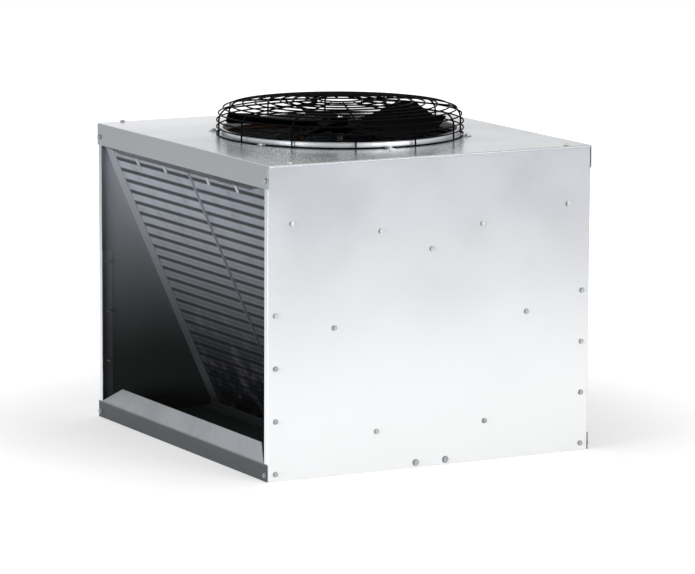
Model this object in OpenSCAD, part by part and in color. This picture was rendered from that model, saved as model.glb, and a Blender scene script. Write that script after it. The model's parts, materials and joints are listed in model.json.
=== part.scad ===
// Remote air-cooled condenser: two slanted fin-and-tube coils in a V, open at both ends,
// with a guarded fan on top that draws air in through the coils and blows it upwards.
// The origin is the centre of the base. X runs between the open ends, Y across the side panels.

/* [Cabinet] */
// Length between the two open ends
cabinet_length = 718; // [680:2:860]
// Depth across the two side panels
cabinet_depth = 757; // [640:1:900]
// Height from the floor to the top sheet
cabinet_height = 610; // [570:2:760]
// Thickness of the galvanised sheet
sheet = 1.2; // [0.8:0.1:1.6]
// Height of the header over each open end
header_height = 57; // [48:1:70]
// Height of the upright band of each end rail
rail_height = 34; // [28:1:42]
// Outside radius of the folds in the sheet metal
fold_radius = 2.4; // [1.8:0.1:4]
// Width of the side panel returns at the open ends
return_width = 14; // [11:1:20]

/* [Coils] */
// Outside diameter of the coil tubes
tube_diameter = 9.5; // [7:0.1:10.5]
// Wall thickness of the coil tubes
tube_wall = 0.8; // [0.5:0.1:1.2]
// Spacing of the tubes up the slope
tube_pitch = 25.4; // [22:0.1:30]
// Spacing of the tube rows through the coil
row_pitch = 22; // [19:0.5:24]
// Number of tube rows through the coil
row_count = 3; // [2:1:3]
// Spacing of the fin plates
fin_pitch = 22; // [14:1:40]
// Thickness of a fin plate
fin_thickness = 0.6; // [0.4:0.1:1]
// Distance from the centre to the outer foot corner of a coil
coil_foot_offset = 101; // [98:1:120]
// Distance of the coils' support plates from the middle of their tubes
support_offset = -7; // [-60:1:60]
// Room between a side panel and the tube sheet beside it
pocket_depth = 36; // [34:1:50]

/* [Fan] */
// Diameter swept by the blades
fan_diameter = 457; // [400:1:470]
// Number of blades
blade_count = 5; // [3:1:6]
// Pitch angle of the blades in degrees
blade_pitch = 11; // [6:1:14]
// Thickness of a blade
blade_thickness = 1.5; // [1:0.1:2.5]
// Height of the blades' middle above the top sheet
fan_lift = 17; // [15:1:20]
// Gap between the blade tips and the orifice
tip_gap = 6.5; // [4:0.5:12]
// Diameter of the motor shaft
shaft_diameter = 12.7; // [10:0.1:16]

/* [Motor] */
// Outside diameter of the motor
motor_diameter = 142; // [120:1:160]
// Length of the motor between its end bells' outer faces
motor_length = 104; // [90:1:106]
// Height from the motor bracket up to the top sheet
bracket_drop = 130; // [126:1:160]
// Width of the motor bracket's web
bracket_width = 104; // [90:1:124]

/* [Guard] */
// Diameter of the guard's foot ring over the wire
guard_diameter = 497; // [488:1:560]
// Diameter of the ring wires
ring_wire = 2.6; // [2:0.1:4]
// Diameter of the radial wires
rib_wire = 3.6; // [2.5:0.1:5]
// Number of radial wires
rib_count = 12; // [6:1:16]
// Height of the guard's upright side
guard_side = 28; // [26:1:50]
// Radius of the guard's shoulder
guard_shoulder = 30; // [20:1:40]
// Slope of the domed top where it leaves the shoulder, in degrees
dome_angle = 6.5; // [3:0.5:12]
// Spacing of the rings on the side and shoulder
side_ring_pitch = 12.5; // [8:0.5:20]
// Spacing of the rings on the domed top
top_ring_pitch = 25; // [15:1:40]

/* [Fasteners] */
// Spacing of the screws up the open ends
edge_screw_pitch = 102.5; // [80:0.5:105]
// Distance from the cabinet's ends to the edge screws
edge_screw_inset = 18; // [16:1:24]
// Diameter of the sheet metal screws
screw_diameter = 4.2; // [3:0.1:5]
// Diameter of the washer face under a screw's head
screw_washer = 11; // [8.5:0.1:12]
// Distance between the two base bolts of a side panel
base_bolt_span = 66; // [56:1:72]
// Distance between the upper screws of a motor bracket end
bracket_screw_span = 226; // [180:2:230]

/* [Connections] */
// Outside diameter of the hot gas line
gas_line_diameter = 15.9; // [12:0.1:16]
// Outside diameter of the liquid line
liquid_line_diameter = 12.7; // [9:0.1:13]
// Outside diameter of the hot gas fitting's threaded end
gas_stub_diameter = 22.2; // [20:0.1:24]
// Outside diameter of the liquid fitting's threaded end
liquid_stub_diameter = 19; // [16.5:0.1:20]
// Diameter of the conduit hole in the junction box
conduit_hole = 22.2; // [20:0.1:28]
// Distance between the anchor holes of the base along the length
anchor_span_x = 600; // [560:1:620]
// Distance between the anchor holes of the base across the depth
anchor_span_y = 660; // [500:1:680]
// Diameter of the anchor holes
anchor_hole = 11; // [8:0.5:14]

/* [Hidden] */

$fn = 48;
overrun = 1;
seat_gap = 0.1;
free_gap = 0.3;
hole_clearance = 0.15;
running_clearance = 0.05;
bend_share = 0.9875;
joint_lap = 0.1;

half_length = cabinet_length / 2;
half_depth = cabinet_depth / 2;
end_in = half_length - sheet;
panel_out = half_depth - sheet;
panel_in = panel_out - sheet;
top_under = cabinet_height - sheet;

// The top sheet's lip, the panels' top flanges, and the bent strips of headers and rails
top_lip = 5;
top_flange = 18;
header_strip_drop = 12;
header_strip_run = 12;
header_mitre_start = 31;
header_mitre = 66;
rail_strip_rise = 31;
rail_strip_run = 22;
rail_mitre = 52;
pan_flange = 30;
post_leg = 28;
post_height = 345;

// The coil's place: its foot sits on the foot channel and its top ends behind the header
coil_foot_height = 12;
coil_top_gap = 10;
coil_top_room = 40;
coil_run = half_length - coil_top_gap - coil_foot_offset;
coil_rise = cabinet_height - coil_top_room - coil_foot_height;
coil_tilt = atan(coil_run / coil_rise);
tube_pairs = floor(norm([coil_run, coil_rise]) / tube_pitch / 2);
tubes_per_row = 2 * tube_pairs;
coil_height = tubes_per_row * tube_pitch;
coil_thickness = row_count * row_pitch;
tube_radius = tube_diameter / 2;
tube_bore = tube_radius - tube_wall;
row_stagger_share = 0.25;

tube_sheet_thickness = 1.5;
tube_sheet_out = panel_in - pocket_depth;
tube_sheet_in = tube_sheet_out - tube_sheet_thickness;
foot_flange = 18;
tube_stub = 4;
inner_flange = tube_stub - free_gap;
support_lip = 4;
fin_span = tube_sheet_in - fin_pitch / 2;
fin_pairs = floor(fin_span / fin_pitch);

// The manifolds stand in the far pocket, across the ends of the tube rows
manifold_room = 1;
manifold_diameter = tube_pitch - manifold_room;
manifold_wall = 1.4;
manifold_radius = manifold_diameter / 2;
manifold_overhang = 8;
manifold_y = tube_sheet_out + tube_stub + manifold_radius;

seal_finger_width = 12;
seal_finger_length = 35;
seal_front_lip = 8;
seal_finger_places_share = [-0.95, -0.4, 0.45, 1];

// Places of the screws that hold a tube sheet, as shares of the slope
coil_screw_places_share = [0.113, 0.49, 0.863];

screw_radius = screw_diameter / 2;
screw_head_across = 8;
screw_head_height = 3.6;
screw_washer_height = 1;
screw_length = 13;
edge_screw_low = 14;
edge_screw_count = 4;
bolt_radius = 3;
bolt_head_across = 10;
bolt_washer = 14;
bolt_length = 16;
base_bolt_height = 9;
end_screw_inset = 9.5;
header_screw_drop = 29;
rail_screw_height = 12;
top_screw_span_share = 0.855;

// The motor's bracket, a channel with a flared flange at each side panel
bracket_z = cabinet_height - bracket_drop;
bracket_thickness = 2;
bracket_side = 24;
bracket_flange_top = 250;
bracket_flange_bottom = 56;
bracket_flange_height = 68;
bracket_screw_drop = 10;
bracket_low_screw_drop = 52;

// The motor, from its lower end bell on the bracket up to the fan's hub
motor_radius = motor_diameter / 2;
motor_base = bracket_z + bracket_thickness;
motor_top = motor_base + motor_length;
shell_wall = 1.8;
bell_rim = 10;
bell_plate = 3;
bell_boss_radius = 17;
bell_boss_height = 14;
bearing_radius = 14;
bearing_height = 10;
shaft_radius = shaft_diameter / 2;
air_gap = 0.6;
rotor_radius = 39;
stator_height = 46;
winding_height = 9;
stud_circle = 96;
stud_radius = 2.5;
stud_length = 9;
nut_across = 9;
nut_height = 4;

fan_z = cabinet_height + fan_lift;
fan_radius = fan_diameter / 2;
blade_root = 62;
blade_root_width = 62;
blade_tip_width = 172;
blade_sweep = 34;
blade_camber_radius = 270;
blade_steps = 14;
blade_reach = 60;
spider_thickness = 3;
spider_disc = 46;
arm_root = 32;
arm_width = 34;
arm_length = 118;
rivet_radius = 3;
rivet_head = 5.5;
rivet_head_height = 1.6;
rivet_places = [74, 92, 110];
hub_radius = 17;
hub_height = 30;
hub_flange = 28;
hub_flange_height = 4;
shaft_flat = 1.2;
shaft_over_hub = 4;
set_screw_radius = 4;
set_screw_length = 12;

// The orifice ring: a flange under the top sheet, a rounded throat and a rolled edge
throat_radius = fan_radius + tip_gap;
orifice_wall = 1.5;
orifice_flange = 26;
collar_height = 12;
collar_bead = 2;
throat_round = 3;

ring_radius = ring_wire / 2;
rib_radius = rib_wire / 2;
guard_foot_radius = guard_diameter / 2 - ring_radius;
shoulder_centre_r = guard_foot_radius - guard_shoulder;
shoulder_centre_z = cabinet_height + guard_side;
dome_start_r = shoulder_centre_r + guard_shoulder * sin(dome_angle);
dome_radius = dome_start_r / sin(dome_angle);
dome_centre_z = shoulder_centre_z + guard_shoulder * cos(dome_angle) - dome_radius * cos(dome_angle);
shoulder_sweep = 90 - dome_angle;
shoulder_rings = floor(guard_shoulder * shoulder_sweep * PI / 180 / side_ring_pitch);
side_rings = floor(guard_side / side_ring_pitch);
centre_ring_radius = 28;
top_rings = floor((dome_start_r - centre_ring_radius) / top_ring_pitch);
guard_turn = 9;
dome_facets = 720;
clip_count = 6;
clip_angle = 3.4;
clip_foot = 16;
clip_thickness = 1.2;
clip_screw_out = 9;

line_wall = 1.2;
line_bend = 13.5;
riser_cap = 3.5;
crossover_share = 0.8;
fitting_height = 330;
gas_line_x = 100;
fitting_hex_height = 8;
fitting_stub_length = 24;
fitting_hex_over = 9;
fitting_shank_inset = 5.3;
fitting_nose = 4;
lock_nut_height = 4;

box_width = 120;
box_height = 72;
box_depth = 46;
box_wall = 1.2;
box_z = 150;
cover_lip = 8;
lead_diameter = 8;
lead_radius = lead_diameter / 2;
lead_bend = 9;
lead_drop = 14;
lead_x = bracket_width / 2 + lead_radius + free_gap;
box_x = -lead_x;
lead_exit_height = 26;
lead_exit_z = motor_base + lead_exit_height;
lead_inset = 5.1;
lead_y = panel_in - lead_radius - lead_inset;
grommet_radius = 9;
grommet_lip = 12;
grommet_lip_height = 2;
clip_width = 10;
lead_clip_wall = 1.2;
terminal_length = 44;
terminal_width = 18;
terminal_height = 14;
post_radius = 2.5;
post_size = 3;
box_screw_inset = 12;

function coil_x(u, w) = -coil_foot_offset + u * cos(coil_tilt) - w * sin(coil_tilt);
function coil_z(u, w) = coil_foot_height + u * sin(coil_tilt) + w * cos(coil_tilt);
function tube_u(row) = (row + 0.5) * row_pitch;
function tube_w(row, i) = (i + (row % 2 == 0 ? row_stagger_share : 1 - row_stagger_share)) * tube_pitch;
function unit(v) = v / norm(v);
function coil_screw_w(share) = share * coil_height;
function coil_screw_u() = foot_flange / 2;

// Puts the children's Z axis along one direction and their X axis along another
module framed(origin, x_axis, z_axis) {
    y_axis = cross(z_axis, x_axis);
    multmatrix([
        [x_axis[0], y_axis[0], z_axis[0], origin[0]],
        [x_axis[1], y_axis[1], z_axis[1], origin[1]],
        [x_axis[2], y_axis[2], z_axis[2], origin[2]],
        [0, 0, 0, 1]
    ]) children();
}

// Left coil's own frame: X through the coil, Z up the slope; the right coil is its mirror image
module on_coil(side) {
    mirror([side > 0 ? 1 : 0, 0, 0])
        translate([-coil_foot_offset, 0, coil_foot_height])
            rotate([0, -coil_tilt, 0])
                children();
}

// Copies to both ends of one axis
module both_ends() {
    children();
    mirror([1, 0, 0]) children();
}

module both_sides() {
    children();
    mirror([0, 1, 0]) children();
}

module four_corners() {
    both_ends() both_sides() children();
}

// A plan outline in X and Z, given a thickness towards +Y
module upright(thickness) {
    translate([0, thickness, 0])
        rotate([90, 0, 0])
            linear_extrude(thickness)
                children();
}

// A sheet bent along a path of points in X and Z, extruded along Y
module bent_strip(path, thickness, width) {
    translate([0, width / 2, 0])
        rotate([90, 0, 0])
            linear_extrude(width)
                polygon(concat(path, [for (i = [len(path) - 1 : -1 : 0]) path[i] + [thickness, 0]]));
}

// A round bar along straight runs with rounded corners. The bends are drawn a hair thinner than
// the straights and run a little way into them, so that all of it joins as one solid.
module run(points, radius, bend) {
    last = len(points) - 1;
    turns = [for (i = [1 : last - 1])
        let (a = unit(points[i] - points[i - 1]), b = unit(points[i + 1] - points[i]))
        acos(a * b)];
    trims = concat([0], [for (t = turns) bend * tan(t / 2)], [0]);
    for (i = [0 : last - 1]) {
        along = unit(points[i + 1] - points[i]);
        side = unit(cross(along, abs(along[2]) > 0.5 ? [1, 0, 0] : [0, 0, 1]));
        start = points[i] + along * trims[i];
        length = norm(points[i + 1] - points[i]) - trims[i] - trims[i + 1];
        framed(start, side, along) cylinder(r = radius, h = length);
    }
    for (i = [1 : last - 1]) {
        a = unit(points[i] - points[i - 1]);
        b = unit(points[i + 1] - points[i]);
        inward = unit(b - a * (a * b));
        centre = points[i] - a * trims[i] + inward * bend;
        lap = joint_lap / bend * 180 / PI;
        framed(centre, -inward, cross(-inward, a))
            rotate([0, 0, -lap])
                rotate_extrude(angle = turns[i - 1] + 2 * lap)
                    translate([bend, 0])
                        circle(r = radius * bend_share);
    }
}

// Outline of a sheet folded into a channel: its back lies on y = 0 and its legs point towards -y
module channel(width, leg, thickness) {
    difference() {
        channel_fill(width, leg, 0);
        channel_fill(width, leg + overrun, thickness);
    }
}

// Outline of a sheet folded into an angle, with its corner at the origin and a leg down -y
module folded_corner(across, down, thickness) {
    intersection() {
        translate([across, 0]) channel(2 * across, down, thickness);
        translate([0, -down]) square([across, down]);
    }
}

module channel_fill(width, leg, inset) {
    half = width / 2;
    translate([inset - half, -leg]) square([width - 2 * inset, leg - fold_radius]);
    translate([fold_radius - half, -leg]) square([width - 2 * fold_radius, leg - inset]);
    for (x = [-1, 1])
        translate([x * (half - fold_radius), -fold_radius])
            circle(r = fold_radius - inset);
}

// A hexagon head screw that points down from z = 0, with its washer face on z = 0
module hex_screw(radius, washer, across, length) {
    translate([0, 0, -length]) cylinder(r = radius, h = length + overrun / 2);
    cylinder(r = washer / 2, h = screw_washer_height);
    cylinder(r = across / 2 / cos(30), h = screw_head_height, $fn = 6);
}

module sheet_screw() {
    hex_screw(screw_radius, screw_washer, screw_head_across, screw_length);
}

// Places of a side panel's screws, in X and Z
function edge_places() = [
    for (x = [-1, 1], i = [0 : edge_screw_count - 1])
        [x * (half_length - edge_screw_inset), edge_screw_low + i * edge_screw_pitch]
];
function coil_places() = [
    for (x = [-1, 1], share = coil_screw_places_share)
        [-x * coil_x(coil_screw_u(), coil_screw_w(share)), coil_z(coil_screw_u(), coil_screw_w(share))]
];
function bracket_places() = [
    [-bracket_screw_span / 2, bracket_z - bracket_screw_drop],
    [bracket_screw_span / 2, bracket_z - bracket_screw_drop],
    [0, bracket_z - bracket_low_screw_drop]
];
function bolt_places() = [for (x = [-1, 1]) [x * base_bolt_span / 2, base_bolt_height]];
function end_places() = [rail_screw_height, cabinet_height - header_screw_drop];
function top_places() = [for (x = [-1, 1]) x * half_length * top_screw_span_share];
function clip_turn(i) = guard_turn + 180 / rib_count + i * 360 / clip_count;
function clip_place(i) = [
    (guard_foot_radius + clip_screw_out) * cos(clip_turn(i)),
    (guard_foot_radius + clip_screw_out) * sin(clip_turn(i))
];

module holes_along_y(places, radius) {
    for (p = places)
        translate([p[0], 0, p[1]])
            rotate([90, 0, 0])
                cylinder(r = radius, h = cabinet_depth, center = true);
}

// A side panel stands at -Y, with a return at each open end and a flange under the top sheet
module side_panel_blank() {
    difference() {
        union() {
            translate([0, -panel_out, 0])
                linear_extrude(top_under - fold_radius)
                    mirror([0, 1])
                        channel(2 * end_in, return_width, sheet);
            translate([fold_radius - end_in, -panel_out, top_under])
                rotate([90, 0, 90])
                    linear_extrude(2 * (end_in - fold_radius))
                        folded_corner(top_flange, 2 * fold_radius, sheet);
        }
        holes_along_y(edge_places(), screw_radius + hole_clearance);
        holes_along_y(coil_places(), screw_radius + hole_clearance);
        holes_along_y(bracket_places(), screw_radius + hole_clearance);
        holes_along_y(bolt_places(), bolt_radius + hole_clearance);
        end_screw_holes();
        top_screw_holes();
    }
}

module end_screw_holes() {
    for (z = end_places(), y = [-1, 1])
        translate([0, y * (half_depth - end_screw_inset), z])
            rotate([0, 90, 0])
                cylinder(r = screw_radius + hole_clearance, h = cabinet_length + overrun, center = true);
}

module top_screw_holes() {
    for (x = top_places(), y = [-1, 1])
        translate([x, y * (panel_out - top_flange / 2), top_under])
            cylinder(r = screw_radius + hole_clearance, h = cabinet_height / 4, center = true);
}

module near_side_panel() {
    color([0.86, 0.88, 0.89]) side_panel_blank();
}

module far_side_panel() {
    color([0.84, 0.86, 0.87])
        difference() {
            mirror([0, 1, 0]) side_panel_blank();
            fitting_hole([gas_line_x, fitting_height], gas_stub_diameter);
            fitting_hole([0, fitting_height], liquid_stub_diameter);
            translate([box_x, panel_in - overrun, box_z])
                rotate([-90, 0, 0])
                    cylinder(r = grommet_radius + hole_clearance, h = sheet + 2 * overrun);
            holes_at_box(sheet);
        }
}

module fitting_hole(place, diameter) {
    translate([place[0], panel_in - overrun, place[1]])
        rotate([-90, 0, 0])
            cylinder(r = diameter / 2 + hole_clearance, h = sheet + 2 * overrun);
}

module holes_at_box(depth) {
    for (p = box_back_places())
        translate([p[0], panel_in - overrun, p[1]])
            rotate([-90, 0, 0])
                cylinder(r = screw_radius + hole_clearance, h = 2 * depth + 2 * overrun);
}

function box_back_places() = [
    for (x = [-1, 1]) [box_x + x * (box_width / 2 - box_screw_inset), box_z + box_height / 4]
];

// The top sheet with its side lips, and the header over each open end
module top_panel() {
    color([0.9, 0.92, 0.93])
        difference() {
            union() {
                translate([0, half_depth - fold_radius, cabinet_height])
                    rotate([90, 0, 0])
                        linear_extrude(cabinet_depth - 2 * fold_radius)
                            channel(cabinet_length, header_height - header_strip_drop, sheet);
                translate([fold_radius - half_length, 0, cabinet_height])
                    rotate([90, 0, 90])
                        linear_extrude(cabinet_length - 2 * fold_radius)
                            channel(cabinet_depth, top_lip, sheet);
                both_ends() header();
            }
            translate([0, 0, top_under - overrun])
                cylinder(r = throat_radius + throat_round + hole_clearance, h = sheet + 2 * overrun);
            end_screw_holes();
            top_screw_holes();
            clip_screw_holes(sheet);
        }
}

module header() {
    upright_height = header_height - header_strip_drop;
    translate([-half_length, -half_depth, cabinet_height - upright_height])
        cube([sheet, cabinet_depth, upright_height - fold_radius]);
    intersection() {
        bent_strip([
            [-half_length, cabinet_height - upright_height],
            [-half_length + header_strip_run, cabinet_height - header_height]
        ], sheet, cabinet_depth);
        mitred(cabinet_height - upright_height, -header_strip_drop,
            half_depth - header_mitre_start, header_mitre);
    }
}

// A block that trims the ends of a bent strip at an angle, in Y and Z
module mitred(z, rise, half_width, mitre) {
    translate([-half_length - overrun, 0, z])
        rotate([90, 0, 90])
            linear_extrude(rail_strip_run + header_strip_run)
                polygon([
                    [-half_width, 0], [half_width, 0],
                    [half_width - mitre, rise], [mitre - half_width, rise]
                ]);
}

module clip_screw_holes(depth) {
    for (i = [0 : clip_count - 1])
        translate([clip_place(i)[0], clip_place(i)[1], cabinet_height - depth - overrun])
            cylinder(r = screw_radius + hole_clearance, h = depth + overrun + clip_thickness + overrun);
}

// The floor with side flanges inside the panels and a rail at each open end
module base_pan() {
    inner_length = end_in - fold_radius - free_gap;
    inner_depth = panel_out - return_width - free_gap;
    color([0.6, 0.63, 0.65])
        difference() {
            union() {
                translate([-inner_length, -panel_in, 0]) cube([2 * inner_length, 2 * panel_in, sheet]);
                translate([-half_length, -inner_depth, 0]) cube([cabinet_length, 2 * inner_depth, sheet]);
                both_sides()
                    translate([-inner_length, -panel_in, 0])
                        cube([2 * inner_length, sheet, pan_flange]);
                both_ends() rail(inner_depth);
            }
            holes_along_y(bolt_places(), bolt_radius + hole_clearance);
            holes_along_y(edge_places(), screw_radius + hole_clearance);
            end_screw_holes();
            for (x = [-1, 1], y = [-1, 1])
                translate([x * anchor_span_x / 2, y * anchor_span_y / 2, -overrun])
                    cylinder(r = anchor_hole / 2, h = sheet + 2 * overrun);
        }
}

module rail(inner_depth) {
    translate([-half_length, -panel_out, 0]) cube([sheet, 2 * panel_out, rail_height]);
    intersection() {
        bent_strip([
            [-half_length, rail_height],
            [-half_length + rail_strip_run, rail_height + rail_strip_rise]
        ], sheet, cabinet_depth);
        mitred(rail_height, rail_strip_rise, inner_depth, rail_mitre);
    }
}

// Angles that stiffen the four corners, nested in the side panels' returns
module corner_posts() {
    foot = pan_flange + free_gap;
    back = end_in - sheet;
    color([0.74, 0.76, 0.77])
        difference() {
            four_corners()
                translate([0, 0, foot])
                    linear_extrude(post_height - foot)
                        intersection() {
                            translate([0, -panel_in])
                                mirror([0, 1])
                                    channel(2 * back, return_width - sheet, sheet);
                            translate([-back, -panel_in]) square(post_leg);
                        }
            holes_along_y(edge_places(), screw_radius + hole_clearance);
        }
}

module fan_orifice() {
    flange_z = top_under - orifice_wall;
    color([0.82, 0.84, 0.85])
        difference() {
            rotate_extrude($fn = 96) {
                translate([throat_radius + throat_round, flange_z])
                    square([orifice_flange - throat_round, orifice_wall]);
                translate([throat_radius, flange_z])
                    intersection() {
                        square(throat_round);
                        translate([throat_round, throat_round])
                            difference() {
                                circle(r = throat_round);
                                circle(r = throat_round - orifice_wall);
                            }
                    }
                translate([throat_radius, flange_z + throat_round])
                    square([orifice_wall, orifice_wall + sheet + collar_height - throat_round]);
                translate([throat_radius + collar_bead, cabinet_height + collar_height])
                    circle(r = collar_bead);
            }
            clip_screw_holes(sheet + orifice_wall);
        }
}

// The channel that both coils stand on, bolted to the side panels through its end tabs
module coil_foot_channel() {
    inner = [-coil_x(coil_thickness, 0), coil_z(coil_thickness, 0)];
    seat = [coil_foot_offset, coil_foot_height];
    drop = sheet / cos(coil_tilt) + seat_gap;
    tab_top = inner[1] - drop;
    half = panel_in - sheet - free_gap;
    color([0.7, 0.72, 0.73])
        difference() {
            union() {
                translate([0, half, 0])
                    rotate([90, 0, 0])
                        linear_extrude(2 * half)
                            foot_outline(inner, seat, drop);
                both_sides()
                    translate([-inner[0], -half, sheet + seat_gap])
                        cube([2 * inner[0], sheet, tab_top - sheet - seat_gap]);
            }
            holes_along_y(bolt_places(), bolt_radius + hole_clearance);
        }
}

module foot_outline(inner, seat, drop) {
    base = sheet + seat_gap;
    flange = inner[0] / 2;
    upper = [
        [-seat[0] - flange, base + sheet], [-seat[0] - sheet, base + sheet],
        [-seat[0] - sheet, seat[1] - drop + sheet], [-seat[0], seat[1] - seat_gap],
        [-inner[0], inner[1] - seat_gap], [inner[0], inner[1] - seat_gap],
        [seat[0], seat[1] - seat_gap], [seat[0] + sheet, seat[1] - drop + sheet],
        [seat[0] + sheet, base + sheet], [seat[0] + flange, base + sheet]
    ];
    lower = [
        [seat[0] + flange, base], [seat[0], base], [seat[0], seat[1] - drop],
        [inner[0], inner[1] - drop], [-inner[0], inner[1] - drop],
        [-seat[0], seat[1] - drop], [-seat[0], base], [-seat[0] - flange, base]
    ];
    polygon(concat(upper, lower));
}

// One fin plate, with a hole for every tube
module fin_outline() {
    difference() {
        square([coil_thickness, coil_height]);
        tube_circles(tube_radius + seat_gap);
    }
}

module tube_circles(radius) {
    for (row = [0 : row_count - 1], i = [0 : tubes_per_row - 1])
        translate([tube_u(row), tube_w(row, i)])
            circle(r = radius);
}

module fins(side) {
    color([0.62, 0.65, 0.7])
        on_coil(side)
            for (i = [-fin_pairs : fin_pairs])
                let (y = i * fin_span / fin_pairs)
                    if (abs(y - support_offset) > tube_sheet_thickness / 2 + fin_thickness + free_gap)
                        translate([0, y - fin_thickness / 2, 0])
                            upright(fin_thickness)
                                fin_outline();
}

// The tubes run from the near to the far tube sheet; the first and last of a row enter a manifold
module tubes(side) {
    length = 2 * (tube_sheet_out + tube_stub);
    color([0.72, 0.45, 0.3])
        on_coil(side)
            translate([0, -tube_sheet_out - tube_stub, 0]) {
                upright(length) tube_rings([1 : tubes_per_row - 2]);
                upright(length + manifold_radius - tube_radius) tube_rings([0, tubes_per_row - 1]);
            }
}

module tube_rings(places) {
    difference() {
        for (row = [0 : row_count - 1], i = places)
            translate([tube_u(row), tube_w(row, i)])
                circle(r = tube_radius);
        for (row = [0 : row_count - 1], i = places)
            translate([tube_u(row), tube_w(row, i)])
                circle(r = tube_bore);
    }
}

// Bends join the tubes in pairs, one tube on at the far end
module return_bends(side) {
    color([0.72, 0.45, 0.3])
        on_coil(side)
            for (row = [0 : row_count - 1]) {
                for (i = [0 : 2 : tubes_per_row - 2])
                    return_bend(row, i, -1);
                for (i = [1 : 2 : tubes_per_row - 3])
                    return_bend(row, i, 1);
            }
}

module return_bend(row, i, end) {
    translate([tube_u(row), end * (tube_sheet_out + tube_stub), tube_w(row, i) + tube_pitch / 2])
        rotate([0, 90, 0])
            rotate([0, 0, end > 0 ? 0 : 180])
                rotate_extrude(angle = 180)
                    translate([tube_pitch / 2, 0])
                        difference() {
                            circle(r = tube_radius);
                            circle(r = tube_bore);
                        }
}

// A tube sheet: a pierced web, a flange out to the side panel and a stiffening flange
module tube_sheet(side, end) {
    t = tube_sheet_thickness;
    color([0.72, 0.74, 0.76])
        difference() {
            on_coil(side)
                mirror([0, end < 0 ? 1 : 0, 0])
                    difference() {
                        linear_extrude(coil_height)
                            polygon([
                                [0, tube_sheet_in], [coil_thickness, tube_sheet_in],
                                [coil_thickness, tube_sheet_out + inner_flange],
                                [coil_thickness - t, tube_sheet_out + inner_flange],
                                [coil_thickness - t, tube_sheet_out], [t, tube_sheet_out],
                                [t, panel_in - t], [foot_flange, panel_in - t],
                                [foot_flange, panel_in], [0, panel_in]
                            ]);
                        translate([0, tube_sheet_in - overrun, 0])
                            upright(t + 2 * overrun)
                                tube_circles(tube_radius + seat_gap);
                    }
            pan_flange_room();
            holes_along_y(coil_places(), screw_radius + hole_clearance);
        }
}

// The space that the base pan's side flanges and the foot channel take from the coils' ends
module pan_flange_room() {
    both_sides()
        translate([-half_length, -panel_in - overrun, -overrun])
            cube([cabinet_length, sheet + overrun + free_gap, pan_flange + overrun + free_gap]);
}

// A plate near the middle of the tubes, standing proud of the fins
module centre_support(side) {
    color([0.78, 0.8, 0.82])
        on_coil(side)
            translate([0, support_offset - tube_sheet_thickness / 2, 0])
                upright(tube_sheet_thickness)
                    difference() {
                        translate([-support_lip, 0])
                            square([coil_thickness + 2 * support_lip, coil_height]);
                        tube_circles(tube_radius + seat_gap);
                    }
}

// A cap over the coil's upper end, with fingers that hold the fins below the header
module top_seal(side) {
    half = tube_sheet_in - free_gap;
    base = coil_height + free_gap;
    color([0.82, 0.84, 0.86])
        on_coil(side)
            difference() {
                union() {
                    translate([-sheet - seat_gap, -half, base])
                        cube([coil_thickness + 2 * (sheet + seat_gap), 2 * half, sheet]);
                    translate([-sheet - seat_gap, -half, base - seal_front_lip])
                        cube([sheet, 2 * half, seal_front_lip]);
                    translate([coil_thickness + seat_gap, -half, base - seal_front_lip])
                        cube([sheet, 2 * half, seal_front_lip]);
                    for (share = seal_finger_places_share)
                        translate([-sheet - seat_gap, share * half * 2 / 3, base - seal_finger_length])
                            cube([sheet, seal_finger_width, seal_finger_length]);
                }
                translate([
                    -support_lip - free_gap, support_offset - tube_sheet_thickness / 2 - free_gap, 0
                ])
                    cube([
                        coil_thickness + 2 * (support_lip + free_gap),
                        tube_sheet_thickness + 2 * free_gap, coil_height + free_gap
                    ]);
            }
}

// Manifolds lie across the three rows' free ends, closed at both ends and pierced for the tubes
module manifold(side, i, line_places, line_radius) {
    low = tube_sheet_thickness + free_gap;
    high = tube_u(row_count - 1) + manifold_radius + manifold_overhang;
    color([0.7, 0.44, 0.3])
        difference() {
            on_coil(side)
                difference() {
                    manifold_bar(low, high, manifold_radius, i);
                    manifold_bar(low + manifold_wall, high - manifold_wall,
                        manifold_radius - manifold_wall, i);
                    for (row = [0 : row_count - 1])
                        translate([tube_u(row), tube_sheet_out, tube_w(row, i)])
                            rotate([-90, 0, 0])
                                cylinder(r = tube_radius + seat_gap, h = manifold_y - tube_sheet_out);
                }
            run(line_places, line_radius + seat_gap, line_bend);
        }
}

module manifold_bar(low, high, radius, i) {
    translate([low, manifold_y, (i + 0.5) * tube_pitch])
        rotate([0, 90, 0])
            cylinder(r = radius, h = high - low);
}

// The crossovers join the two coils' manifolds and pass through a riser that is closed at one end
// and leaves through the far side panel at the other
function gas_z() = coil_z(coil_thickness, coil_height - tube_pitch / 2);
function gas_end_x() = coil_x(coil_thickness, coil_height - tube_pitch / 2);
function gas_crossover() = [[gas_end_x(), manifold_y, gas_z()], [-gas_end_x(), manifold_y, gas_z()]];
function gas_riser(past) = [
    [gas_line_x, manifold_y, gas_z() + past], [gas_line_x, manifold_y, fitting_height],
    [gas_line_x, panel_out + sheet, fitting_height]
];
function liquid_z() = coil_z(coil_thickness, tube_pitch / 2);
function liquid_end_x() = coil_x(coil_thickness, tube_pitch / 2);
function liquid_crossover() = [
    [liquid_end_x(), manifold_y, liquid_z()], [-liquid_end_x(), manifold_y, liquid_z()]
];
function liquid_riser(past) = [
    [0, manifold_y, liquid_z() - past], [0, manifold_y, fitting_height],
    [0, panel_out + sheet, fitting_height]
];
function crossover_radius(line_diameter) = crossover_share * line_diameter / 2;
function riser_past(line_diameter) = crossover_radius(line_diameter) + riser_cap;

module gas_line() {
    past = riser_past(gas_line_diameter);
    tee_line(gas_crossover(), gas_riser(past), gas_riser(past - line_wall), gas_line_diameter);
}

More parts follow.
